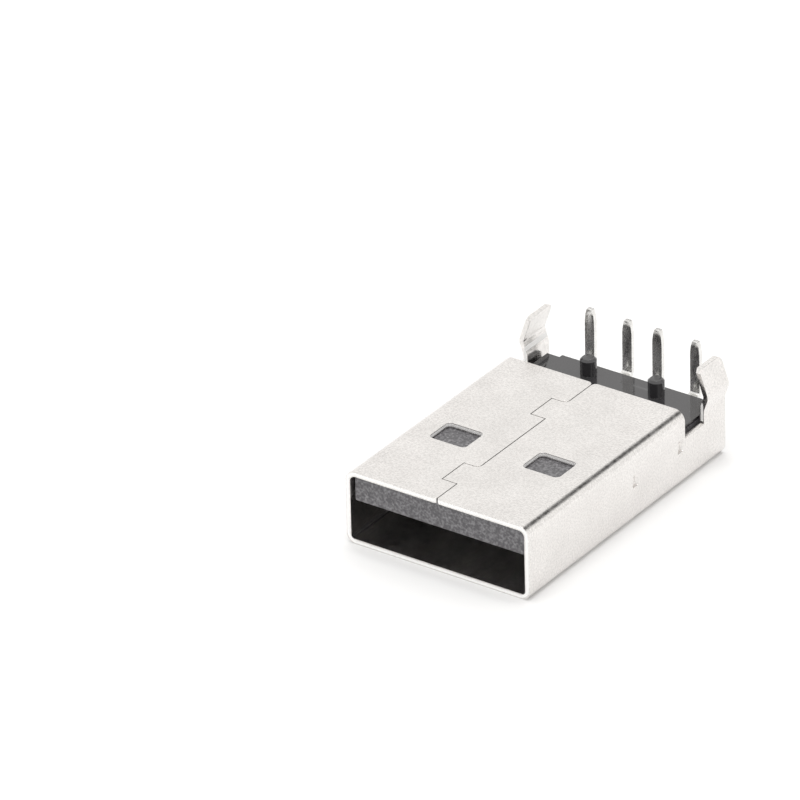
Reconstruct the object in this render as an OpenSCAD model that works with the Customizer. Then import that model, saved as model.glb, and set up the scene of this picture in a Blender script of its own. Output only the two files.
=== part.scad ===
// Board-mount USB Type-A plug: a folded sheet shell with two board legs, one
// moulded housing with its tongue and two locating pegs, and four contacts.
// X runs across the plug, Y from the mouth to the tails, Z up towards the board.
// The origin is under the middle of the whole plug, on the plane it lies on.

/* [Shell] */
// Outside width of the shell
shell_w = 12; // [11.9:0.05:12.1]
// Outside height of the shell
shell_h = 4.5; // [4.4:0.05:4.6]
// Thickness of the sheet
sheet_t = 0.3; // [0.28:0.01:0.34]
// Length of the floor and the side walls
shell_len = 19.35; // [19:0.05:20]
// Length of the top face, which carries the seam
top_len = 15.3; // [15:0.05:15.8]
// Outside radius of the two bends beside the top face
bend_r_top = 0.65; // [0.5:0.05:0.8]
// Outside radius of the two bends beside the floor
bend_r_floor = 0.5; // [0.4:0.05:0.6]

/* [Windows] */
// Distance from the centre line to a window's near side
window_x = 1.86; // [1.8:0.02:2]
// Width of a latch window
window_w = 2.4; // [2.3:0.05:2.5]
// Distance from the mouth to the windows
window_y = 5.4; // [5.1:0.05:5.6]
// Length of a latch window
window_len = 1.97; // [1.85:0.02:2.1]
// Corner radius of a latch window
window_r = 0.3; // [0.1:0.05:0.5]

/* [Seam] */
// Width of the butt gap where the two halves of the top face meet
seam_gap = 0.05; // [0.03:0.01:0.08]
// How far a dovetail tab reaches across the centre line
tab_reach = 1; // [0.8:0.05:1.2]
// Length of a tab
tab_len = 2.15; // [1.9:0.05:2.4]
// Distance from the mouth to the first tab
tab_1_y = 1.95; // [1.8:0.05:2.2]
// Distance from the mouth to the second tab
tab_2_y = 10.5; // [10:0.05:11]
// Radius where a tab's rear side runs back into the centre line
tab_root_r = 0.3; // [0.2:0.05:0.4]
// Radius of the blank's corners at the mouth end of the seam
seam_front_r = 0.15; // [0.1:0.05:0.3]
// Radius of the blank's corners at the rear end of the seam
seam_rear_r = 0.3; // [0.2:0.05:0.4]

/* [Board legs] */
// Height of the side walls behind the top face
wall_h = 2.8; // [2.6:0.05:3]
// Width of a leg along the plug
leg_w = 2.15; // [2:0.05:2.3]
// Height of a leg's tip
leg_top = 6.08; // [5.8:0.02:6.3]
// How far a leg leans, outwards at its root and then back inwards
leg_lean = 19; // [12:1:22]
// Rounding of a leg's rear corner
leg_r = 0.38; // [0.2:0.02:0.5]
// Chamfer on a leg's front corner
leg_chamfer = 0.22; // [0.1:0.02:0.3]

/* [Stakes] */
// Distances from the mouth to the punched stakes in each side wall
stake_y = [10.38, 14.85];
// Height of the stakes
stake_z = 2.5; // [2.4:0.05:2.6]
// Length of a stake along the wall
stake_len = 0.52; // [0.4:0.02:0.6]
// Height of a stake's pocket
stake_h = 0.72; // [0.6:0.02:0.8]
// Depth of a stake
stake_depth = 0.16; // [0.1:0.02:0.2]

/* [Housing] */
// Distance from the mouth to the tongue's front face
tongue_y = 0.28; // [0.2:0.02:0.5]
// Width of the tongue
tongue_w = 11.1; // [10.9:0.05:11.2]
// Height of the tongue's underside
tongue_z = 2.6; // [2.55:0.01:2.65]
// Distance from the mouth to the back of the cavity
cavity_len = 8.65; // [8.5:0.05:8.85]
// Width of the housing's rear block
block_w = 11.3; // [11.2:0.02:11.36]
// Distance from the mouth to the wall that the board's edge faces
board_stop_y = 14.75; // [14.6:0.05:14.9]
// Height of the shelf that the board lies on
shelf_z = 3.1; // [3.05:0.01:3.15]
// Width of the shelf
shelf_w = 11; // [10.8:0.05:11.1]
// Distance from the mouth to the housing's rear face
rear_y = 19.17; // [19:0.01:19.3]
// How far the shelf is stepped down in front of the board's edge
shelf_drop = 0.1; // [0.05:0.01:0.15]

/* [Locating pegs] */
// Distance between the two pegs
peg_pitch = 4.5; // [4.4:0.05:4.6]
// Distance from the mouth to the pegs
peg_y = 18.13; // [18:0.01:18.2]
// Diameter of a peg
peg_d = 0.95; // [0.9:0.01:1]
// Height of a peg's top
peg_top = 4.13; // [4.1:0.01:4.2]

/* [Contacts] */
// Distance between the two inner contacts
inner_pitch = 2; // [1.9:0.05:2.1]
// Distance between the two outer contacts
outer_pitch = 7; // [6.9:0.05:7.1]
// Width of a contact on the tongue
contact_w = 1; // [0.95:0.01:1.05]
// Thickness of the contact strip
contact_t = 0.3; // [0.25:0.01:0.32]
// Height of the face that touches the mating contact
contact_z = 2.55; // [2.5:0.01:2.58]
// Exposed length of the two power contacts
power_len = 7.41; // [7.3:0.01:7.5]
// Exposed length of the two data contacts
data_len = 6.41; // [6.3:0.01:6.5]
// Width of a contact's root, which is pressed into the housing
root_w = 1.35; // [1.25:0.05:1.4]
// Width of a tail
tail_w = 0.64; // [0.6:0.02:0.7]
// Width of a tail's tip
tail_tip_w = 0.38; // [0.3:0.02:0.5]
// Distance from the mouth to the rear face of the tails
tail_y = 20.4; // [20.3:0.02:20.5]
// Height of the tails' tips
tail_top = 5.88; // [5.7:0.02:6]

/* [Hidden] */
$fn = 64;
over = 1;                                // how far a cutter passes a face
air = 0.02;                              // moulding clearance round the contacts
overall_len = tail_y;                    // mouth to tails
inner_h = shell_h - sheet_t;             // height of the top face's underside
leg_y = shell_len - leg_w;               // front side of the legs
leg_bend_r = 0.5;                        // centre-line radius of the legs' bends
leg_root_z = 3.55;                       // where a leg's first bend starts
leg_out = 0.6;                           // straight part of the outward lean
tail_z = 2.35;                           // underside of the strip at the rear face
tail_bend_r = 0.3;                       // centre-line radius of the tail's bend
jog_angle = 25;                          // slope of the jog from tongue to tail height
jog_y = 10.2;                            // where the jog starts, going forwards
root_len = 3.2;                          // length of the wide root behind the jog
hook_angle = 35;                         // how steeply the front end dives into the tongue
hook_len = 0.45;                         // length of that end
tail_taper = 0.78;                       // length of the tail's tapered tip
slot_w = 0.96;                           // width of the openings under the tails
slot_z = 1.18;                           // floor of those openings
slot_depth = 2.6;                        // how far they are cored into the block
slot_head = 0.5;                         // height of the wide slot above the strip's underside
ear_x = 4.87;                            // inner side of the relief at each end of the rear face
ear_z = [1.02, 2.33];                    // floor and top of that relief
ear_depth = 0.12;
seat_y = 15.4;                           // where the stepped-down part of the shelf ends
ledge_z = 2.45;                          // top of the block beside the shelf
shelf_edge = 0.06;                       // chamfer along the shelf's rear edge
peg_chamfer = 0.12;
floor_notch_w = 1.3;                     // central notch in the block's lower rear edge
floor_notch_h = 0.42;
floor_notch_depth = 1.2;
edge = 0.1;                              // chamfers on the block's rear edges
tongue_r = 0.3;                          // upper corner radius of the tongue
stake_slack = 0.05;                      // room between a stake and its pocket

// The whole plug is drawn from its mouth and then moved over the origin.
module place() translate([0, -overall_len / 2, 0]) children();

// A flat outline in X and Z, carried along Y from y0 to y1.
module along_y(y0, y1) translate([0, y1, 0]) rotate([90, 0, 0]) linear_extrude(y1 - y0) children();

// A flat outline in Y and Z, carried along X from x0 to x1.
module along_x(x0, x1) translate([x0, 0, 0]) rotate([90, 0, 90]) linear_extrude(x1 - x0) children();

// A box from its lowest to its highest corner.
module block(low, high) translate(low) cube(high - low);

// A box mirrored onto both sides of the centre plane.
module both_sides() { children(); mirror([1, 0, 0]) children(); }

// A rectangle centred on X with its own radii at the bottom and the top corners.
module rounded_section(w, z0, z1, r0, r1) {
    for (s = [-1, 1]) {
        translate([s * (w / 2 - r0), z0 + r0]) circle(r0);
        translate([s * (w / 2 - r1), z1 - r1]) circle(r1);
    }
    translate([-w / 2 + r0, z0]) square([w - 2 * r0, r0]);
    translate([-w / 2 + r1, z1 - r1]) square([w - 2 * r1, r1]);
    translate([-w / 2, z0 + r0]) square([w, z1 - z0 - r0 - r1]);
}

// A rectangle with four equal round corners, from its lowest to its highest corner.
module rounded_rect(low, high, r) {
    for (x = [low.x + r, high.x - r], y = [low.y + r, high.y - r]) translate([x, y]) circle(r);
    translate([low.x + r, low.y]) square([high.x - low.x - 2 * r, high.y - low.y]);
    translate([low.x, low.y + r]) square([high.x - low.x, high.y - low.y - 2 * r]);
}

// ---- Bent strip: a side outline worked out from straights and bends ----

// Where a walk stands after one [straight, turn, radius] step; state is [x, y, heading].
function after_straight(s, step) = [s[0] + step[0] * cos(s[2]), s[1] + step[0] * sin(s[2]), s[2]];
function after_bend(s, turn, r) =
    let (k = sign(turn), cx = s[0] - k * r * sin(s[2]), cy = s[1] + k * r * cos(s[2]), h = s[2] + turn)
    [cx + k * r * sin(h), cy - k * r * cos(h), h];
function walk_step(s, step) =
    let (a = after_straight(s, step)) step[1] == 0 ? a : after_bend(a, step[1], step[2]);

// Every state along the walk: the ends of the straights and, in a bend, one for each 6 degrees.
function bend_states(s, turn, r) =
    let (n = max(1, ceil(abs(turn) / 6))) [for (i = [1 : n]) after_bend(s, turn * i / n, r)];
function walk(s, steps, i = 0) =
    i == len(steps) ? [] :
    let (a = after_straight(s, steps[i]),
         b = steps[i][1] == 0 ? [] : bend_states(a, steps[i][1], steps[i][2]))
    concat([a], b, walk(walk_step(s, steps[i]), steps, i + 1));

// The strip's outline: the walk moved half a thickness to the left, and back along the right.
function beside(s, d) = [s[0] - d * sin(s[2]), s[1] + d * cos(s[2])];
function strip_outline(start, steps, t) =
    let (path = concat([start], walk(start, steps)), n = len(path))
    concat([for (s = path) beside(s, t / 2)], [for (i = [n - 1 : -1 : 0]) beside(path[i], -t / 2)]);

// ---- Shell ----

// The folded tube: both bends of the floor, both bends of the top, one sheet thick.
module shell_tube() along_y(0, shell_len) difference() {
    rounded_section(shell_w, 0, shell_h, bend_r_floor, bend_r_top);
    rounded_section(shell_w - 2 * sheet_t, sheet_t, inner_h, bend_r_floor - sheet_t, bend_r_top - sheet_t);
}

// Rounds off one corner of the blank at an end of the seam: the square outside the arc.
module corner_loss(r) difference() {
    square(r);
    translate([r, r]) circle(r);
}

// One tab's part of the butt gap: square at its front, swept back into the centre line behind.
module tab_gap(y) {
    g = seam_gap;
    rear = y + tab_len;
    translate([-tab_reach, y]) square([tab_reach + g / 2, g]);
    translate([-tab_reach, y]) square([g, tab_len]);
    translate([-tab_reach, rear - g]) square([tab_reach - tab_root_r, g]);
    translate([-tab_root_r, rear + tab_root_r]) intersection() {
        difference() {
            circle(tab_root_r + g / 2);
            circle(tab_root_r - g / 2);
        }
        translate([0, -tab_root_r - g]) square(tab_root_r + g);
    }
}

// The butt gap on the top face, with the blank's rounded corners at both of its ends.
module seam_outline() {
    g = seam_gap;
    tabs = [tab_1_y, tab_2_y];
    starts = [-over, tab_1_y + tab_len + tab_root_r, tab_2_y + tab_len + tab_root_r];
    ends = [tab_1_y + g, tab_2_y + g, top_len + over];
    for (y = tabs) tab_gap(y);
    for (i = [0 : 2]) translate([-g / 2, starts[i]]) square([g, ends[i] - starts[i]]);
    for (s = [0, 1]) mirror([s, 0]) {
        translate([g / 2, 0]) corner_loss(seam_front_r);
        translate([g / 2, top_len]) mirror([0, 1]) corner_loss(seam_rear_r);
    }
}

// The latch windows, in the top face and in the floor.
module windows() both_sides() for (z = [-over, inner_h - over])
    translate([0, 0, z]) linear_extrude(sheet_t + 2 * over)
        rounded_rect([window_x, window_y], [window_x + window_w, window_y + window_len], window_r);

// The walk up a leg's centre line, from the side wall to the tip.
leg_start = [shell_w / 2 - sheet_t / 2, wall_h - 0.3, 90];
leg_steps = [[leg_root_z - leg_start[1], -leg_lean, leg_bend_r],
             [leg_out, 2 * leg_lean, leg_bend_r],
             [2.2, 0, 0]];

// A board leg: straight out of the wall, kinked outwards and then leaning back in, with
// its front corner chamfered and its rear corner round.
module leg() intersection() {
    along_y(leg_y, shell_len) polygon(strip_outline(leg_start, leg_steps, sheet_t));
    along_x(shell_w / 2 - over, shell_w / 2 + over) difference() {
        translate([leg_y, wall_h - 0.3]) square([leg_w, leg_top - wall_h + 0.3]);
        translate([leg_y, leg_top]) rotate(45) square(leg_chamfer * sqrt(2), center = true);
        translate([shell_len, leg_top]) mirror([1, 1]) corner_loss(leg_r);
    }
}

// A stake's outline from above: steep at both ends, flat at its bottom.
module stake_outline(depth, grow) polygon([
    [0, -stake_len / 2 - grow], [-depth, -stake_len / 2 + depth / 2 - grow],
    [-depth, stake_len / 2 - depth / 2 + grow], [0, stake_len / 2 + grow]]);

// One stake, from the face at x inwards.
module stake(x, y, depth, grow) translate([x, y, stake_z - stake_h / 2 - grow])
    linear_extrude(stake_h + 2 * grow) stake_outline(depth, grow);

module shell() color([0.8, 0.8, 0.79]) place() {
    difference() {
        shell_tube();
        block([-shell_w, top_len, wall_h], [shell_w, shell_len + over, shell_h + over]);
        translate([0, 0, inner_h - over]) linear_extrude(sheet_t + 2 * over) seam_outline();
        windows();
        both_sides() for (y = stake_y) stake(shell_w / 2, y, stake_depth, 0);
    }
    both_sides() leg();
    both_sides() for (y = stake_y) stake(shell_w / 2 - sheet_t, y, stake_depth, 0);
}

// ---- Housing ----

contact_x = [outer_pitch / 2, inner_pitch / 2, -inner_pitch / 2, -outer_pitch / 2];
exposed_len = [power_len, data_len, data_len, power_len];

// The rear block's section: the shell's inside, less its moulding clearance.
module block_section(top) {
    gap = (shell_w - 2 * sheet_t - block_w) / 2;
    intersection() {
        rounded_section(block_w, sheet_t, inner_h - gap, bend_r_floor - sheet_t, bend_r_top - sheet_t);
        translate([-block_w / 2, sheet_t]) square([block_w, top - sheet_t]);
    }
}

// The shelf: narrower than the block below it, stepped down under the end of the top face, so
// that the board lies only on the part behind it, and chamfered along its rear edge.
module shelf() {
    along_y(board_stop_y - 0.5, rear_y) block_section(ledge_z);
    along_x(-shelf_w / 2, shelf_w / 2) polygon([
        [board_stop_y - 0.5, ledge_z - 0.3], [rear_y, ledge_z - 0.3], [rear_y, shelf_z - shelf_edge],
        [rear_y - shelf_edge, shelf_z], [seat_y, shelf_z], [seat_y, shelf_z - shelf_drop],
        [board_stop_y - 0.5, shelf_z - shelf_drop]]);
}

// A locating peg with a chamfered top.
module peg() {
    r = peg_d / 2;
    translate([peg_pitch / 2, peg_y, shelf_z - 0.5]) cylinder(r = r, h = peg_top - peg_chamfer - shelf_z + 0.5);
    translate([peg_pitch / 2, peg_y, peg_top - peg_chamfer]) cylinder(r1 = r, r2 = r - peg_chamfer, h = peg_chamfer);
}

// What one contact takes out of the housing: its groove under the tongue with the pocket for
// its front end, its passage through the block, and the T-shaped opening in the rear face.
module contact_space(i) {
    x = contact_x[i];
    front = cavity_len - exposed_len[i];
    half = contact_w / 2 + air;
    top = contact_z + contact_t + air;
    block([x - half, front - 0.1, tongue_z - over], [x + half, cavity_len, top]);
    block([x - half, front, contact_z - air], [x + half, jog_y + 0.1, top]);
    block([x - half, front - 0.55, contact_z + 0.02], [x + half, front, top + 0.35]);
    block([x - half, jog_y - 1.2, tail_z], [x + half, rear_y - root_len, top]);
    block([x - root_w / 2, rear_y - root_len - air, tail_z], [x + root_w / 2, rear_y + over, tail_z + slot_head]);
    block([x - slot_w / 2, rear_y - slot_depth, slot_z], [x + slot_w / 2, rear_y + over, tail_z + 0.01]);
}

// The relief at each end of the rear face, and the sloping corner above it.
module ear_relief() both_sides() {
    block([ear_x, rear_y - ear_depth, ear_z[0]], [block_w, rear_y + over, ear_z[1]]);
    along_x(ear_x - 0.2, block_w) polygon([[rear_y - 0.32, shelf_z + over], [rear_y - 0.32, shelf_z - 0.15],
        [rear_y - ear_depth, ear_z[1] - 0.01], [rear_y + over, ear_z[1] - 0.01], [rear_y + over, shelf_z + over]]);
}

module housing() color([0.13, 0.13, 0.14]) place() difference() {
    union() {
        along_y(tongue_y, cavity_len + over) rounded_section(tongue_w, tongue_z, inner_h - air, edge, tongue_r);
        along_y(cavity_len, board_stop_y) block_section(inner_h);
        shelf();
        both_sides() peg();
    }
    for (i = [0 : 3]) contact_space(i);
    ear_relief();
    // Central notch in the lower rear edge, and a chamfer along that edge.
    block([-floor_notch_w / 2, rear_y - floor_notch_depth, 0], [floor_notch_w / 2, rear_y + over, sheet_t + floor_notch_h]);
    along_x(-block_w, block_w) translate([rear_y, sheet_t]) rotate(45) square(edge * sqrt(2), center = true);
    // Pockets that the stakes in the side walls press towards.
    both_sides() for (y = stake_y)
        stake(block_w / 2 + 0.001, y, stake_depth + stake_slack, stake_slack);
}

// ---- Contacts ----

// The contact's centre line, walked from the rear: down the tail, round its bend, forwards
// through the root, up the jog to the tongue's height, and into the tongue at the front.
jog_rise = contact_z - tail_z;
jog_r = 0.4;
jog_straight = (jog_rise - 2 * jog_r * (1 - cos(jog_angle))) / sin(jog_angle);
tail_start = [tail_y - contact_t / 2, tail_top, -90];
root_run = tail_y - contact_t / 2 - tail_bend_r - jog_y;
function contact_steps(len_exposed) = let (
        flat = jog_y - 2 * jog_r * sin(jog_angle) - jog_straight * cos(jog_angle) - (cavity_len - len_exposed))
    [[tail_top - tail_z - contact_t / 2 - tail_bend_r, -90, tail_bend_r],
     [root_run, -jog_angle, jog_r],
     [jog_straight, jog_angle, jog_r],
     [flat, -hook_angle, jog_r],
     [hook_len - 0.25, 0, 0]];

// The strip seen flat: wide at its root, then the tail with its tapered tip.
module contact_plan() {
    translate([-contact_w / 2, 0]) square([contact_w, rear_y - root_len + 0.5]);
    translate([-root_w / 2 + air, rear_y - root_len]) square([root_w - 2 * air, root_len]);
    translate([-tail_w / 2, rear_y - 0.5]) square([tail_w, overall_len - rear_y + over]);
}

// The tail seen from the rear: parallel sides up to a tapered, flat-ended tip.
module tail_front() polygon([
    [-root_w, 0], [root_w, 0], [root_w, tail_z + contact_t + 0.05], [tail_w / 2, tail_z + contact_t + 0.05],
    [tail_w / 2, tail_top - tail_taper], [0.85 * tail_w / 2, tail_top - 0.45 * tail_taper],
    [tail_tip_w / 2, tail_top], [-tail_tip_w / 2, tail_top], [-0.85 * tail_w / 2, tail_top - 0.45 * tail_taper],
    [-tail_w / 2, tail_top - tail_taper], [-tail_w / 2, tail_z + contact_t + 0.05],
    [-root_w, tail_z + contact_t + 0.05]]);

module contact(i) color([0.83, 0.82, 0.78]) place() translate([contact_x[i], 0, 0]) intersection() {
    along_x(-root_w, root_w) polygon(strip_outline(tail_start, contact_steps(exposed_len[i]), contact_t));
    linear_extrude(shell_h + over + leg_top) contact_plan();
    along_y(0, overall_len + over) tail_front();
}

module contact_power() contact(0);
module contact_data_minus() contact(1);
module contact_data_plus() contact(2);
module contact_ground() contact(3);

shell();
housing();
contact_power();
contact_data_minus();
contact_data_plus();
contact_ground();
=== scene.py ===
"""Dresses a board-mount Type-A plug: folded plated shell, moulded housing and four bent contacts.

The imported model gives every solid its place. The shell and the housing keep their solids' forms and
get very small edge rounds. The four contacts are worked out again as strips carried along their bent
centre lines, at their full width in the tongue. Sizes in the classes are in millimetres unless they
say otherwise.
"""

import logging
import math
from dataclasses import dataclass
from enum import Enum
from typing import Sequence

import bmesh
import bpy
import numpy as np
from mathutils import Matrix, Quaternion, Vector


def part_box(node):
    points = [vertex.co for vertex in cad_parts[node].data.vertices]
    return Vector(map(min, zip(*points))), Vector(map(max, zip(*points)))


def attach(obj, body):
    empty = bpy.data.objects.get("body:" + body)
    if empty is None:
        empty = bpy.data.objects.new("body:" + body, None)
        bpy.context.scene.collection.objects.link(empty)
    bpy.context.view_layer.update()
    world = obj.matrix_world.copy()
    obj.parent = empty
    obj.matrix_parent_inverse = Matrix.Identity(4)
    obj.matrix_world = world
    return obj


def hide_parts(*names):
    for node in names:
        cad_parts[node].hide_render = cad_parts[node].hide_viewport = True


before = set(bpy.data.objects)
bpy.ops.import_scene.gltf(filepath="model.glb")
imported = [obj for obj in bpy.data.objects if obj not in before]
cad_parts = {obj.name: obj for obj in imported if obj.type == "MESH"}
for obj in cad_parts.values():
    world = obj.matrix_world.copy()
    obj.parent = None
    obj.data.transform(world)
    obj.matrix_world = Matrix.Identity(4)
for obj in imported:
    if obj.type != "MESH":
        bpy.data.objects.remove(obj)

MM = 0.001
BODY = "root"
LOG = logging.getLogger("plug")

Array = np.ndarray
Colour = tuple[float, float, float]


class Slot(Enum):
    """The record's material slots."""

    SHELL = "shell_plating"
    HOUSING = "housing_plastic"
    CONTACT = "contact_plating"


# ---- Materials ----


class Graph:
    """A small writer for one shader node tree.

    Attributes:
        tree: The node tree that nodes are added to.
    """

    def __init__(self, tree: bpy.types.NodeTree) -> None:
        """Empties the tree and keeps it.

        Args:
            tree: The node tree of a material or of the world.
        """
        tree.nodes.clear()
        self.tree = tree

    def add(
        self, kind: str, settings: dict[str, object] | None = None, **inputs: object
    ) -> bpy.types.Node:
        """Adds a node, sets its properties and fills its inputs.

        Args:
            kind: The node's type name.
            settings: Properties of the node itself, by name.
            **inputs: Input sockets, with spaces in a name written as underscores. A value is set on
                the socket, and an output socket is linked to it.

        Returns:
            The new node.
        """
        node = self.tree.nodes.new(kind)
        for name, value in (settings or {}).items():
            setattr(node, name, value)
        for name, value in inputs.items():
            socket = node.inputs[name.replace("_", " ")]
            if isinstance(value, bpy.types.NodeSocket):
                self.tree.links.new(value, socket)
            else:
                socket.default_value = value
        return node

    def math(
        self, operation: str, first: object, second: object, third: object = 0.0
    ) -> bpy.types.NodeSocket:
        """A sum, product or other piece of arithmetic on single values.

        Args:
            operation: Blender's name for it.
            first: A number or an output socket.
            second: The same.
            third: The same, for the operations that take three.

        Returns:
            The result.
        """
        node = self.add("ShaderNodeMath", {"operation": operation})
        self.fill(node, first, second, third)
        return node.outputs["Value"]

    def vector(self, operation: str, first: object, second: object) -> bpy.types.NodeSocket:
        """The same on vectors.

        Args:
            operation: Blender's name for it.
            first: Three numbers or an output socket.
            second: The same.

        Returns:
            The result, a single value for a length or a product of two vectors.
        """
        node = self.add("ShaderNodeVectorMath", {"operation": operation})
        self.fill(node, first, second)
        scalar = operation in ("LENGTH", "DOT_PRODUCT")
        return node.outputs["Value" if scalar else "Vector"]

    def fill(self, node: bpy.types.Node, *values: object) -> None:
        """Fills a node's inputs in their order.

        Args:
            node: The node.
            *values: For each input, a plain value or an output socket.
        """
        for socket, value in zip(node.inputs, values):
            if isinstance(value, bpy.types.NodeSocket):
                self.tree.links.new(value, socket)
            else:
                socket.default_value = value

    def tint(self, colour: bpy.types.NodeSocket, shade: bpy.types.NodeSocket) -> bpy.types.NodeSocket:
        """A colour darkened by a value.

        Args:
            colour: The colour.
            shade: 1 leaves it, 0 makes it black.

        Returns:
            The darkened colour.
        """
        node = self.add("ShaderNodeMix", {"data_type": "RGBA", "blend_type": "MULTIPLY"})
        node.inputs[0].default_value = 1.0
        self.tree.links.new(colour, node.inputs[6])
        self.tree.links.new(shade, node.inputs[7])
        return node.outputs[2]

    def noise(
        self, where: bpy.types.NodeSocket, scale: float, detail: float = 3.0
    ) -> bpy.types.NodeSocket:
        """A noise pattern.

        Args:
            where: The coordinates it reads.
            scale: Features in one unit of the coordinates.
            detail: How many finer layers are added.

        Returns:
            The pattern's value, from 0 to 1.
        """
        return self.add("ShaderNodeTexNoise", Vector=where, Scale=scale, Detail=detail).outputs["Fac"]

    def remap(
        self, value: bpy.types.NodeSocket, low: float, high: float, to_low: float, to_high: float
    ) -> bpy.types.NodeSocket:
        """Carries a value from one range to another in a straight line, held at the ends.

        Args:
            value: The value to carry over.
            low: Start of its range.
            high: End of its range.
            to_low: What the start becomes.
            to_high: What the end becomes.

        Returns:
            The value in its new range.
        """
        node = self.add("ShaderNodeMapRange", Value=value)
        for name, number in zip(("From Min", "From Max", "To Min", "To Max"), (low, high, to_low, to_high)):
            node.inputs[name].default_value = number
        return node.outputs["Result"]

    def blend(self, share: bpy.types.NodeSocket, first: object, second: object) -> bpy.types.NodeSocket:
        """A colour between two others.

        Args:
            share: 0 for the first colour, 1 for the second.
            first: Red, green and blue, or an output socket.
            second: The same.

        Returns:
            The mixed colour.
        """
        node = self.add("ShaderNodeMix", {"data_type": "RGBA"})
        self.tree.links.new(share, node.inputs[0])
        for socket, colour in ((node.inputs[6], first), (node.inputs[7], second)):
            if isinstance(colour, bpy.types.NodeSocket):
                self.tree.links.new(colour, socket)
            else:
                socket.default_value = (*colour, 1)
        return node.outputs[2]

    def bump(self, height: bpy.types.NodeSocket, depth_um: float) -> bpy.types.NodeSocket:
        """A normal tilted by a pattern taken as a relief.

        Args:
            height: The pattern, from 0 to 1.
            depth_um: Depth of the relief in micrometres.

        Returns:
            The tilted normal.
        """
        node = self.add("ShaderNodeBump", Height=height, Strength=1.0, Distance=depth_um * 1e-6)
        return node.outputs["Normal"]


def new_material(name: str) -> tuple[bpy.types.Material, Graph]:
    """Makes an empty node material.

    Args:
        name: The material's name.

    Returns:
        The material and the writer of its node tree.
    """
    material = bpy.data.materials.new(name)
    material.use_nodes = True
    return material, Graph(material.node_tree)


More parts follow.
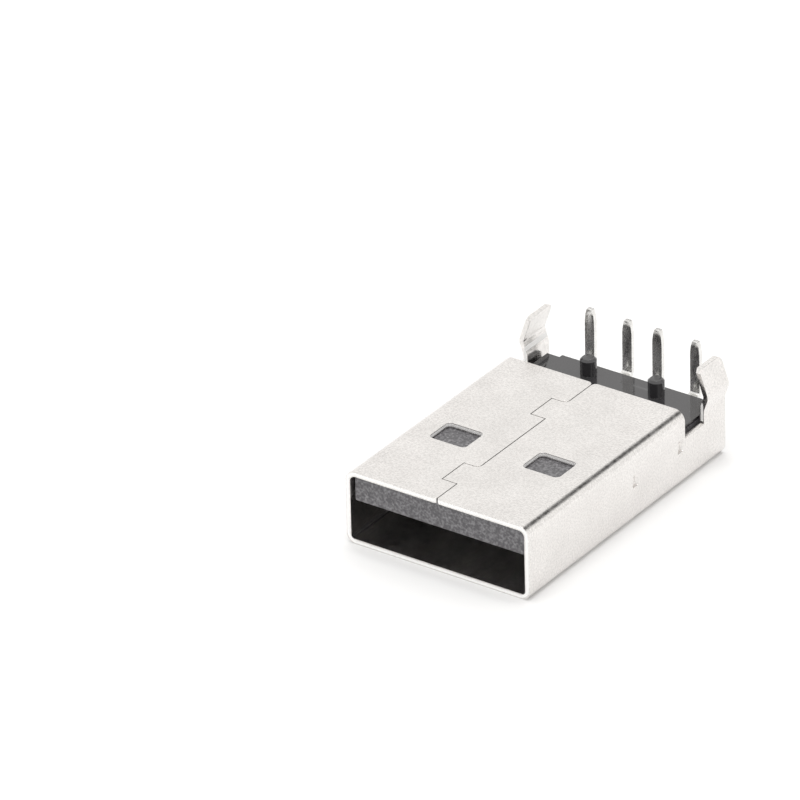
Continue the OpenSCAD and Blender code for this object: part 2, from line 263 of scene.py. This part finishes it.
@dataclass(frozen=True)
class SatinNickel:
    """Nickel on stamped sheet: warm, satin, with the fine tooth of a barrel-plated skin.

    Attributes:
        bright: Colour where the plating is cleanest.
        dull: Colour of the faint clouds in it.
        rough: Lowest and highest roughness.
        tooth_per_m: Features of the tooth in a metre.
        tooth_um: Depth of the tooth in micrometres.
        speckle: How much darker the tooth's hollows are.
        section: The shell's width, height and bend radius, in millimetres.
        cut_depth: Least and greatest depth below the skin that counts as a cut face.
        cut_rough: Roughness of a cut face.
        cut_metal: How metallic a cut face looks.
        cut_colour: Colour of a cut face.
        seam_half: How far the seam's painted shade reaches to either side.
        seam_left: Share of the colour that is left under the seam's painted shade.
        clouds_per_m: Clouds in a metre.
        dull_per_m: Duller spots in a metre.
        stake_z: Heights between which the side walls are pressed in, not cut.
    """

    bright: Colour = (0.895, 0.872, 0.852)
    dull: Colour = (0.835, 0.812, 0.792)
    rough: tuple[float, float] = (0.17, 0.27)
    tooth_per_m: float = 8500.0
    tooth_um: float = 6.0
    speckle: float = 0.18
    section: tuple[float, float, float] = (12.0, 4.5, 0.65)
    cut_depth: tuple[float, float] = (0.04, 0.21)
    cut_rough: float = 0.5
    cut_metal: float = 0.25
    cut_colour: Colour = (0.97, 0.965, 0.955)
    seam_half: float = 1.75
    seam_left: float = 0.03
    clouds_per_m: float = 420.0
    dull_per_m: float = 2600.0
    stake_z: tuple[float, float] = (2.05, 2.95)

    def cut_share(self, graph: Graph, where: bpy.types.NodeSocket) -> bpy.types.NodeSocket:
        """How much of a point lies on a cut face, which shows the bare inside of the sheet.

        The depth below the shell's skin is the corner radius less the distance from the section's inner
        rectangle, whose corners are the centres of the bends, plus the part inside that rectangle. A
        point is on a cut face where the depth is neither 0 nor the sheet's thickness. At the stakes'
        heights the walls are pressed in and not cut, so behind the mouth they count as skin.

        Args:
            graph: The material's nodes.
            where: The coordinates.

        Returns:
            1 on a cut face, 0 on the skin.
        """
        width, height, radius = (size * MM for size in self.section)
        centred = graph.vector("SUBTRACT", where, (0.0, 0.0, height / 2))
        flat = graph.vector("MULTIPLY", centred, (1.0, 0.0, 1.0))
        folded = graph.vector("ABSOLUTE", flat, (0.0, 0.0, 0.0))
        past = graph.vector("SUBTRACT", folded, (width / 2 - radius, 1.0, height / 2 - radius))
        outside = graph.vector("LENGTH", graph.vector("MAXIMUM", past, (0.0, 0.0, 0.0)), (0.0, 0.0, 0.0))
        split = graph.add("ShaderNodeSeparateXYZ", Vector=past)
        larger = graph.math("MAXIMUM", split.outputs["X"], split.outputs["Z"])
        inside = graph.math("MINIMUM", larger, 0.0)
        depth = graph.math("SUBTRACT", radius, graph.math("ADD", outside, inside))
        low, high = (value * MM for value in self.cut_depth)
        soft = 0.02 * MM
        below = graph.remap(depth, low, low + soft, 0.0, 1.0)
        above = graph.remap(depth, high, high + soft, 1.0, 0.0)
        within = graph.math("MULTIPLY", below, above)
        place = graph.add("ShaderNodeSeparateXYZ", Vector=where)
        floor, roof = (level * MM for level in self.stake_z)
        clear_below = graph.remap(place.outputs["Z"], floor, floor + soft, 1.0, 0.0)
        clear_above = graph.remap(place.outputs["Z"], roof, roof + soft, 0.0, 1.0)
        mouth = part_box("shell")[0].y
        behind = graph.remap(place.outputs["Y"], mouth + soft, mouth + 0.3 * MM, 1.0, 0.0)
        clear = graph.math("MAXIMUM", graph.math("MAXIMUM", clear_below, clear_above), behind)
        return graph.math("MULTIPLY", within, clear)

    def seam_painted_shade(
        self, graph: Graph, where: bpy.types.NodeSocket, cut: bpy.types.NodeSocket
    ) -> bpy.types.NodeSocket:
        """Painted shade in the seam: dark on the top sheet's cut faces near the centre, behind the mouth.

        The top sheet's rear cut edge lies within that range as well, and is darkened too.

        Args:
            graph: The material's nodes.
            where: The coordinates.
            cut: 1 on a cut face.

        Returns:
            1 where no shade is painted, and little in the seam.
        """
        split = graph.add("ShaderNodeSeparateXYZ", Vector=where)
        beside = graph.math("ABSOLUTE", split.outputs["X"], 0.0)
        near = graph.remap(beside, self.seam_half * MM, (self.seam_half + 0.05) * MM, 1.0, 0.0)
        top = self.section[1]
        high = graph.remap(split.outputs["Z"], (top - 0.5) * MM, (top - 0.45) * MM, 0.0, 1.0)
        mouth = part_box("shell")[0].y
        behind = graph.remap(split.outputs["Y"], mouth + 0.06 * MM, mouth + 0.1 * MM, 0.0, 1.0)
        place = graph.math("MULTIPLY", graph.math("MULTIPLY", near, high), behind)
        return graph.remap(graph.math("MULTIPLY", place, cut), 0.0, 1.0, 1.0, self.seam_left)

    def build(self) -> bpy.types.Material:
        """Builds the material.

        Returns:
            The shell's plating.
        """
        material, graph = new_material("satin_nickel")
        where = graph.add("ShaderNodeTexCoord").outputs["Object"]
        clouds = graph.remap(graph.noise(where, self.clouds_per_m, 4.0), 0.35, 0.65, 0.0, 1.0)
        tooth = graph.noise(where, self.tooth_per_m, 4.0)
        cut = self.cut_share(graph, where)
        skin_rough = graph.remap(graph.noise(where, self.dull_per_m), 0.3, 0.7, *self.rough)
        hollows = graph.remap(tooth, 0.35, 0.65, 1.0 - self.speckle, 1.0)
        skin = graph.tint(graph.blend(clouds, self.bright, self.dull), hollows)
        speckled = graph.blend(cut, skin, self.cut_colour)
        # The seam's darkening in the base colour is painted shade.
        shader = graph.add(
            "ShaderNodeBsdfPrincipled",
            Base_Color=graph.tint(speckled, self.seam_painted_shade(graph, where, cut)),
            Roughness=graph.math("MAXIMUM", skin_rough, graph.math("MULTIPLY", cut, self.cut_rough)),
            Metallic=graph.remap(cut, 0.0, 1.0, 1.0, self.cut_metal),
            Normal=graph.bump(tooth, self.tooth_um),
        )
        graph.add("ShaderNodeOutputMaterial", Surface=shader.outputs["BSDF"])
        return material


@dataclass(frozen=True)
class MouldedBlack:
    """Black moulded resin: spark-textured with painted glints, but polished on the shelf and its pegs.

    Attributes:
        colour: Colour of the resin under the painted glints.
        glint_colour: Colour of the painted glints, light flecks on the texture's raised points.
        polished_shade: How dark the polished resin's colour is, as a share of the colour.
        spark_per_m: Features of the spark texture in a metre.
        polished_relief: Share of the texture's depth that is left on the polished part.
        plain_index: Index of refraction of the textured skin.
        textured: Roughness of the textured faces.
        polished: Roughness of the shelf and the pegs.
        index: Index of refraction of the polished skin.
        shelf_y: Where the shelf starts, in millimetres.
        shelf_z: Height above which the resin is polished, in millimetres.
        spark_um: Depth of the spark texture in micrometres.
    """

    colour: Colour = (0.080, 0.077, 0.083)
    glint_colour: Colour = (0.24, 0.235, 0.245)
    polished_shade: float = 0.425
    spark_per_m: float = 7500.0
    polished_relief: float = 0.07
    plain_index: float = 1.5
    textured: float = 0.38
    polished: float = 0.07
    index: float = 1.72
    shelf_y: float = 4.5
    shelf_z: float = 2.9
    spark_um: float = 11.0

    def polish_share(self, graph: Graph, where: bpy.types.NodeSocket) -> bpy.types.NodeSocket:
        """How much of a point lies on the polished part: behind and above two given planes.

        Args:
            graph: The material's nodes.
            where: The coordinates.

        Returns:
            1 on the shelf and the pegs, 0 elsewhere.
        """
        split = graph.add("ShaderNodeSeparateXYZ", Vector=where)
        soft = 0.03 * MM
        start = self.shelf_y * MM
        level = self.shelf_z * MM
        behind = graph.remap(split.outputs["Y"], start - soft, start + soft, 0.0, 1.0)
        above = graph.remap(split.outputs["Z"], level - soft, level + soft, 0.0, 1.0)
        return graph.math("MULTIPLY", behind, above)

    def build(self) -> bpy.types.Material:
        """Builds the material.

        Returns:
            The housing's resin.
        """
        material, graph = new_material("moulded_black")
        where = graph.add("ShaderNodeTexCoord").outputs["Object"]
        polish = self.polish_share(graph, where)
        spark = graph.noise(where, self.spark_per_m, 4.0)
        # Light flecks on the texture's raised points are painted glints; the polished part gets none.
        sparse = graph.remap(spark, 0.42, 0.72, 0.0, 1.0)
        painted_glints = graph.math("MULTIPLY", sparse, graph.remap(polish, 0.0, 1.0, 1.0, 0.0))
        relief = graph.math("MULTIPLY", spark, graph.remap(polish, 0.0, 1.0, 1.0, self.polished_relief))
        shade = graph.remap(polish, 0.0, 1.0, 1.0, self.polished_shade)
        shader = graph.add(
            "ShaderNodeBsdfPrincipled",
            Base_Color=graph.tint(graph.blend(painted_glints, self.colour, self.glint_colour), shade),
            Roughness=graph.remap(polish, 0.0, 1.0, self.textured, self.polished),
            IOR=graph.remap(polish, 0.0, 1.0, self.plain_index, self.index),
            Normal=graph.bump(relief, self.spark_um),
        )
        graph.add("ShaderNodeOutputMaterial", Surface=shader.outputs["BSDF"])
        return material


@dataclass(frozen=True)
class BrightTin:
    """Bright plating on the contact strip, drawn out along the strip.

    Attributes:
        bright: Colour of the plating.
        dull: Colour of its faint stains.
        rough: Lowest and highest roughness.
        drawn_out: How much slower the lines change along the strip than across it.
        lines_per_m: Lines across a metre.
        dips_per_m: Features of the uneven dip in a metre.
        stains_per_m: Stains in a metre.
        lines_share: Depth of the lines as a share of the dip's.
        relief_um: Depth of the relief in micrometres.
    """

    bright: Colour = (0.86, 0.855, 0.84)
    dull: Colour = (0.70, 0.69, 0.67)
    rough: tuple[float, float] = (0.18, 0.36)
    drawn_out: float = 0.22
    lines_per_m: float = 16000.0
    dips_per_m: float = 3200.0
    stains_per_m: float = 1500.0
    lines_share: float = 0.15
    relief_um: float = 8.0

    def build(self) -> bpy.types.Material:
        """Builds the material.

        Returns:
            The contacts' plating.
        """
        material, graph = new_material("bright_tin")
        where = graph.add("ShaderNodeTexCoord").outputs["Object"]
        drawn = graph.vector("MULTIPLY", where, (1.0, self.drawn_out, self.drawn_out))
        stains = graph.remap(graph.noise(where, self.stains_per_m, 4.0), 0.4, 0.75, 0.0, 1.0)
        lines = graph.noise(drawn, self.lines_per_m, 3.0)
        dips = graph.noise(where, self.dips_per_m, 2.0)
        waves = graph.math("MULTIPLY_ADD", lines, self.lines_share, dips)
        shader = graph.add(
            "ShaderNodeBsdfPrincipled",
            Base_Color=graph.blend(stains, self.bright, self.dull),
            Roughness=graph.remap(lines, 0.3, 0.7, *self.rough),
            Metallic=1.0,
            Normal=graph.bump(waves, self.relief_um),
        )
        graph.add("ShaderNodeOutputMaterial", Surface=shader.outputs["BSDF"])
        return material


# ---- Meshes ----


def make_piece(
    name: str, mesh: bpy.types.Mesh, material: bpy.types.Material, node: str
) -> bpy.types.Object:
    """Puts a mesh in the scene as the visible form of one solid.

    Args:
        name: The piece's name.
        mesh: Its mesh, in place.
        material: Its finish.
        node: The solid that the piece stands for.

    Returns:
        The piece.
    """
    piece = bpy.data.objects.new(name, mesh)
    bpy.context.scene.collection.objects.link(piece)
    mesh.materials.clear()
    mesh.materials.append(material)
    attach(piece, BODY)
    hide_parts(node)
    LOG.info("%s: %d faces", name, len(mesh.polygons))
    return piece


def merged_copy(node: str) -> bpy.types.Mesh:
    """Copies a solid's mesh, joins its loose triangles and takes out the lines inside flat faces.

    Args:
        node: The solid's name.

    Returns:
        The copy.
    """
    weld = 1e-7
    flat = math.radians(0.6)
    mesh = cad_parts[node].data.copy()
    work = bmesh.new()
    work.from_mesh(mesh)
    bmesh.ops.remove_doubles(work, verts=work.verts, dist=weld)
    bmesh.ops.dissolve_limit(work, angle_limit=flat, verts=work.verts, edges=work.edges)
    work.to_mesh(mesh)
    work.free()
    return mesh


def round_edges(
    piece: bpy.types.Object, radius: float, segments: int = 3, sharper_than: float = 28.0
) -> None:
    """Gives a piece's edges a small round.

    Args:
        piece: The piece.
        radius: Widest round in millimetres. It is held back where edges are short.
        segments: Steps across the round.
        sharper_than: Only edges that turn by more than this many degrees are rounded.
    """
    mesh = piece.data
    mesh.polygons.foreach_set("use_smooth", np.ones(len(mesh.polygons), bool))
    bevel = piece.modifiers.new("edge_round", "BEVEL")
    bevel.limit_method = "ANGLE"
    bevel.angle_limit = math.radians(sharper_than)
    bevel.width = radius * MM
    bevel.segments = segments
    bevel.use_clamp_overlap = True
    bevel.miter_outer = "MITER_ARC"
    normals = piece.modifiers.new("flat_faces_stay_flat", "WEIGHTED_NORMAL")
    normals.mode = "FACE_AREA"
    normals.weight = 100


@dataclass
class Shell:
    """The folded sheet shell, with its seam, latch windows, stakes and board legs.

    Attributes:
        finish: Its plating.
        edge: Widest round along the edges. The shortest edges hold it back.
    """

    finish: SatinNickel = SatinNickel()
    edge: float = 0.06

    def build(self) -> None:
        """Builds and dresses the shell."""
        piece = make_piece("shell_sheet", merged_copy("shell"), self.finish.build(), "shell")
        round_edges(piece, self.edge)


@dataclass
class Housing:
    """The moulded housing: tongue, rear block, shelf and pegs.

    Attributes:
        finish: Its resin.
        edge: Widest round along the edges. The shortest edges hold it back.
    """

    finish: MouldedBlack = MouldedBlack()
    edge: float = 0.05

    def build(self) -> None:
        """Builds and dresses the housing."""
        mesh = merged_copy("housing")
        piece = make_piece("housing_moulding", mesh, self.finish.build(), "housing")
        round_edges(piece, self.edge)


@dataclass(frozen=True)
class Run:
    """One stretch of a strip: a straight, or a bend of even radius.

    Attributes:
        length: Length of a straight, or 0.
        turn: Degrees that a bend turns, positive to the left, or 0.
        radius: The bend's centre-line radius.
        width: Width of the strip at the stretch's start and end.
        thick: Thickness of the strip at the stretch's start and end.
    """

    length: float = 0.0
    turn: float = 0.0
    radius: float = 0.0
    width: tuple[float, float] = (1.0, 1.0)
    thick: tuple[float, float] = (0.3, 0.3)


def strip_line(start: tuple[float, float], heading: float, runs: Sequence[Run]) -> Array:
    """The centre line of a bent strip, seen from its side.

    A straight is the start plus the distance gone times the heading. A bend is its centre, which lies a
    radius to the left or right, plus a radius turned through equal steps of angle.

    Args:
        start: Where it starts, in Y and Z.
        heading: Direction there, in degrees from +Y towards +Z.
        runs: Its stretches in order.

    Returns:
        One row for each step: Y, Z, heading in radians, width and thickness.
    """
    bend_step = 7.5
    straight_step = 0.4
    rows = []
    y, z = start
    angle = math.radians(heading)
    for run in runs:
        if run.turn:
            count = max(2, math.ceil(abs(run.turn) / bend_step) + 1)
            turned = np.linspace(0.0, math.radians(run.turn), count)
            side = math.copysign(run.radius, run.turn)
            headings = angle + turned
            ys = y + side * (np.sin(headings) - math.sin(angle))
            zs = z - side * (np.cos(headings) - math.cos(angle))
        else:
            count = max(2, math.ceil(run.length / straight_step) + 1)
            gone = np.linspace(0.0, run.length, count)
            headings = np.full(count, angle)
            ys = y + gone * math.cos(angle)
            zs = z + gone * math.sin(angle)
        share = np.linspace(0.0, 1.0, count)
        widths = run.width[0] + share * (run.width[1] - run.width[0])
        thicks = run.thick[0] + share * (run.thick[1] - run.thick[0])
        rows.append(np.stack([ys, zs, headings, widths, thicks], axis=1))
        y, z, angle = float(ys[-1]), float(zs[-1]), float(headings[-1])
    return np.concatenate(rows)


def strip_surface(line: Array, corner: float, x: float) -> Array:
    """The skin of a strip: a rectangle with round corners, carried along its centre line.

    Round the section the angle runs once through a full turn. Each point is the corner's centre, which
    lies half the width and half the thickness out less the corner's radius, plus the radius turned
    through the angle.

    Args:
        line: Rows of Y, Z, heading, width and thickness.
        corner: Radius of the section's corners.
        x: Where the strip's centre lies across the plug.

    Returns:
        Points on a grid: along the strip, round the section, then X, Y and Z.
    """
    per_corner = 4
    first = np.repeat(np.arange(4) * math.pi / 2, per_corner)
    phi = first + np.tile(np.linspace(0.0, math.pi / 2, per_corner), 4)
    middle = first + math.pi / 4
    out_x = np.sign(np.cos(middle))
    out_n = np.sign(np.sin(middle))
    y, z, heading, width, thick = (column[:, None] for column in line.T)
    across = out_x * (width / 2 - corner) + corner * np.cos(phi)
    away = out_n * (thick / 2 - corner) + corner * np.sin(phi)
    return np.stack([x + across, y - away * np.sin(heading), z + away * np.cos(heading)], axis=2)


def tube_mesh(name: str, grid: Array) -> bpy.types.Mesh:
    """A closed mesh from a grid of rings, with a flat face at either end.

    Args:
        name: The mesh's name.
        grid: Rings of points, in millimetres.

    Returns:
        The mesh, in metres, with its faces outwards.
    """
    rings, around = grid.shape[:2]
    index = np.arange(rings * around).reshape(rings, around)
    after = np.roll(index, -1, axis=1)
    quads = np.stack([index[:-1], after[:-1], after[1:], index[1:]], axis=2).reshape(-1, 4)
    faces = [list(map(int, quad)) for quad in quads]
    faces.append([int(i) for i in index[0][::-1]])
    faces.append([int(i) for i in index[-1]])
    mesh = bpy.data.meshes.new(name)
    mesh.from_pydata(grid.reshape(-1, 3) * MM, [], faces)
    work = bmesh.new()
    work.from_mesh(mesh)
    bmesh.ops.recalc_face_normals(work, faces=work.faces)
    work.to_mesh(mesh)
    work.free()
    mesh.polygons.foreach_set("use_smooth", np.ones(len(mesh.polygons), bool))
    return mesh


@dataclass
class Contacts:
    """The four contacts: one bent strip, made in two lengths.

    Attributes:
        finish: Their plating.
        places: For each solid, its distance from the centre plane and its exposed length.
        corner: Round along the strip's edges.
        thick: Thickness of the strip.
        tail_y: Rear face of the tails, from the mouth.
        tail_top: Height of the tails' tips.
        tail_width: Width of a tail.
        tip_width: Width of a tail's tip.
        shoulder_share: Width between the tip's two tapers, as a share of the tail's width.
        taper: Length of the tapered tip, first and second part.
        strip_z: Height of the strip's underside at the rear face.
        face_z: Height of the face that touches the mating contact.
        bend: Centre-line radius of the tail's bend.
        jog_bend: Centre-line radius of the gentle bends.
        jog_angle: Slope of the jog.
        hook_angle: How steeply the front end dives into the tongue.
        hook_end: Straight length after that bend.
        sharper_than: Degrees above which an edge is drawn sharp.
        rear_y: Rear face of the housing, from the mouth.
        root_width: Width of the pressed-in root.
        root_length: Length of the root.
        jog_y: Where the jog starts, going forwards.
        cavity: Depth of the cavity.
        width: Width on the tongue.
    """

    finish: BrightTin = BrightTin()
    places: tuple[tuple[str, float, float], ...] = (
        ("contact_power", 3.5, 7.41),
        ("contact_data_minus", 1.0, 6.41),
        ("contact_data_plus", -1.0, 6.41),
        ("contact_ground", -3.5, 7.41),
    )
    corner: float = 0.035
    thick: float = 0.3
    tail_y: float = 20.4
    tail_top: float = 5.88
    tail_width: float = 0.64
    tip_width: float = 0.38
    shoulder_share: float = 0.85
    taper: tuple[float, float] = (0.35, 0.43)
    strip_z: float = 2.35
    face_z: float = 2.55
    bend: float = 0.3
    jog_bend: float = 0.4
    jog_angle: float = 25.0
    hook_angle: float = 35.0
    hook_end: float = 0.2
    sharper_than: float = 50.0
    rear_y: float = 19.17
    root_width: float = 1.31
    root_length: float = 3.2
    jog_y: float = 10.2
    cavity: float = 8.65
    width: float = 1.0

    def runs(self, exposed: float) -> list[Run]:
        """The stretches of one contact, from the tail's tip to the front end.

        Args:
            exposed: Length of the contact in the cavity.

        Returns:
            The stretches.
        """
        full = (self.thick, self.thick)
        shoulder = self.shoulder_share * self.tail_width
        tail = (self.tail_width, self.tail_width)
        root = (self.root_width, self.root_width)
        body = (self.width, self.width)
        drop = self.tail_top - self.strip_z - self.thick / 2 - self.bend - sum(self.taper)
        behind = self.tail_y - self.thick / 2 - self.bend - self.rear_y
        slope = math.radians(self.jog_angle)
        rise = self.face_z - self.strip_z
        jog = (rise - 2 * self.jog_bend * (1 - math.cos(slope))) / math.sin(slope)
        jog_reach = 2 * self.jog_bend * math.sin(slope) + jog * math.cos(slope)
        flat = self.jog_y - jog_reach - (self.cavity - exposed)
        return [
            Run(length=self.taper[0], width=(self.tip_width, shoulder), thick=full),
            Run(length=self.taper[1], width=(shoulder, self.tail_width), thick=full),
            Run(length=drop, width=tail, thick=full),
            Run(turn=-90.0, radius=self.bend, width=tail, thick=full),
            Run(length=behind, width=tail, thick=full),
            Run(length=self.root_length, width=root, thick=full),
            Run(length=self.rear_y - self.root_length - self.jog_y, width=body, thick=full),
            Run(turn=-self.jog_angle, radius=self.jog_bend, width=body, thick=full),
            Run(length=jog, width=body, thick=full),
            Run(turn=self.jog_angle, radius=self.jog_bend, width=body, thick=full),
            Run(length=flat, width=body, thick=full),
            Run(turn=-self.hook_angle, radius=self.jog_bend, width=body, thick=full),
            Run(length=self.hook_end, width=body, thick=full),
        ]

    def strip(self, x: float, exposed: float) -> Array:
        """The skin of one contact, with its tip's edges broken.

        Args:
            x: Where it lies across the plug.
            exposed: Length of the contact in the cavity.

        Returns:
            Its rings of points.
        """
        mouth = -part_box("shell")[0].y / MM
        start = (self.tail_y - self.thick / 2 - mouth, self.tail_top)
        line = strip_line(start, -90.0, self.runs(exposed))
        tip = line[:1].copy()
        line[0, 1] -= self.corner
        tip[0, 3:] -= 2 * self.corner
        grid = strip_surface(line, self.corner, x)
        blunt = strip_surface(tip, 0.0, x)
        return np.concatenate([blunt, grid])

    def build(self) -> None:
        """Builds and dresses the four contacts."""
        plating = self.finish.build()
        for node, x, exposed in self.places:
            name = node + "_strip"
            mesh = tube_mesh(name, self.strip(x, exposed))
            make_piece(name, mesh, plating, node)
            mesh.set_sharp_from_angle(angle=math.radians(self.sharper_than))


# ---- Studio ----


@dataclass(frozen=True)
class Flag:
    """A round dark flag in the sky, with a soft rim. All four values are in degrees.

    Attributes:
        azimuth: Direction, from +Y towards +X.
        elevation: Height above the floor.
        inner: Half angle of its dark core.
        outer: Half angle where it ends.
    """

    azimuth: float
    elevation: float
    inner: float
    outer: float

    def share(self, graph: Graph) -> bpy.types.NodeSocket:
        """How much of the sky it hides, from the cosine of the angle to its middle.

        Args:
            graph: The sky's nodes.

        Returns:
            1 in the core, 0 past the end.
        """
        around = math.radians(self.azimuth)
        up = math.radians(self.elevation)
        towards = (math.sin(around) * math.cos(up), math.cos(around) * math.cos(up), math.sin(up))
        look = graph.add("ShaderNodeTexCoord").outputs["Generated"]
        near = graph.vector("DOT_PRODUCT", look, towards)
        end = math.cos(math.radians(self.outer))
        core = math.cos(math.radians(self.inner))
        return graph.remap(near, end, core, 0.0, 1.0)


@dataclass
class Studio:
    """A white paper floor under an even sky, with one soft box above and two dark flags.

    Attributes:
        paper: Colour of the paper.
        floor_size: Side of the paper in metres.
        sky: Colour of the sky.
        high_flag: The flag behind, which the right-hand bend reflects as a dark band.
        low_flag: The low flag in front, which draws the front edges.
        flag_tone: Colour of the flags.
        box_power: Power of the soft box in watts.
        box_size: Side of the soft box in metres.
        box_height: Height of the soft box in metres.
        floor_z: Height of the paper in metres, just under the plug.
    """

    paper: Colour = (0.9, 0.9, 0.9)
    floor_size: float = 6.0
    sky: Colour = (1.04, 1.03, 1.015)
    high_flag: Flag = Flag(19.0, 40.0, 5.0, 20.0)
    low_flag: Flag = Flag(-148.0, 8.0, 7.0, 16.0)
    flag_tone: Colour = (0.02, 0.02, 0.02)
    box_power: float = 0.78
    box_size: float = 0.22
    box_height: float = 0.5
    floor_z: float = -1e-5

    def build(self) -> None:
        """Builds the floor, the sky and the soft box."""
        self.lay_paper()
        self.light_sky()
        self.hang_box()
        bpy.context.scene.view_settings.view_transform = "Standard"

    def lay_paper(self) -> None:
        """Lays the paper just under the plug."""
        half = self.floor_size / 2
        mesh = bpy.data.meshes.new("paper")
        corners = np.array([[-half, -half], [half, -half], [half, half], [-half, half]])
        corners = np.column_stack([corners, np.full(4, self.floor_z)])
        mesh.from_pydata(corners, [], [(0, 1, 2, 3)])
        floor = bpy.data.objects.new("paper", mesh)
        bpy.context.scene.collection.objects.link(floor)
        material, graph = new_material("white_paper")
        shader = graph.add("ShaderNodeBsdfPrincipled", Base_Color=(*self.paper, 1), Roughness=0.8)
        graph.add("ShaderNodeOutputMaterial", Surface=shader.outputs["BSDF"])
        mesh.materials.append(material)

    def light_sky(self) -> None:
        """Makes the sky: one even tone, with two flags as soft-edged dark discs."""
        world = bpy.data.worlds.new("sky")
        world.use_nodes = True
        bpy.context.scene.world = world
        graph = Graph(world.node_tree)
        hidden = graph.math("MAXIMUM", self.high_flag.share(graph), self.low_flag.share(graph))
        tone = graph.blend(hidden, self.sky, self.flag_tone)
        back = graph.add("ShaderNodeBackground", Color=tone, Strength=1.0)
        graph.add("ShaderNodeOutputWorld", Surface=back.outputs["Background"])

    def hang_box(self) -> None:
        """Hangs the soft box over the plug."""
        light = bpy.data.lights.new("soft_box", "AREA")
        light.shape = "SQUARE"
        light.size = self.box_size
        light.energy = self.box_power
        lamp = bpy.data.objects.new("soft_box", light)
        lamp.location = (0.0, 0.0, self.box_height)
        bpy.context.scene.collection.objects.link(lamp)


@dataclass
class Camera:
    """The camera, placed round a point it looks at.

    Attributes:
        aim: The point, in millimetres.
        azimuth: Degrees round the plug, from straight in front of the mouth towards +X.
        elevation: Degrees above the floor.
        roll: Degrees that the camera is turned about its own axis.
        distance: Metres from the point.
        lens: Focal length in millimetres on a sensor 36 mm wide.
    """

    aim: tuple[float, float, float] = (-10.23, 1.03, 2.25)
    azimuth: float = 35.43
    elevation: float = 29.11
    roll: float = -1.35
    distance: float = 0.48384
    lens: float = 392.4

    def build(self) -> None:
        """Makes the camera and gives it to the scene."""
        data = bpy.data.cameras.new("camera")
        data.lens = self.lens
        data.sensor_width = 36.0
        data.clip_start = 0.01
        data.clip_end = 50.0
        camera = bpy.data.objects.new("camera", data)
        azimuth = math.radians(self.azimuth)
        elevation = math.radians(self.elevation)
        away = Vector(
            (
                math.sin(azimuth) * math.cos(elevation),
                -math.cos(azimuth) * math.cos(elevation),
                math.sin(elevation),
            )
        )
        camera.location = Vector(self.aim) * MM + away * self.distance
        turn = away.to_track_quat("Z", "Y") @ Quaternion((0.0, 0.0, 1.0), math.radians(self.roll))
        camera.rotation_euler = turn.to_euler()
        bpy.context.scene.collection.objects.link(camera)
        bpy.context.scene.camera = camera


def main() -> None:
    """Builds the plug, the studio and the camera."""
    logging.basicConfig(level=logging.INFO, format="%(name)s: %(message)s")
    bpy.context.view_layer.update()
    Shell().build()
    Housing().build()
    Contacts().build()
    Studio().build()
    Camera().build()


if __name__ == "__main__":
    main()
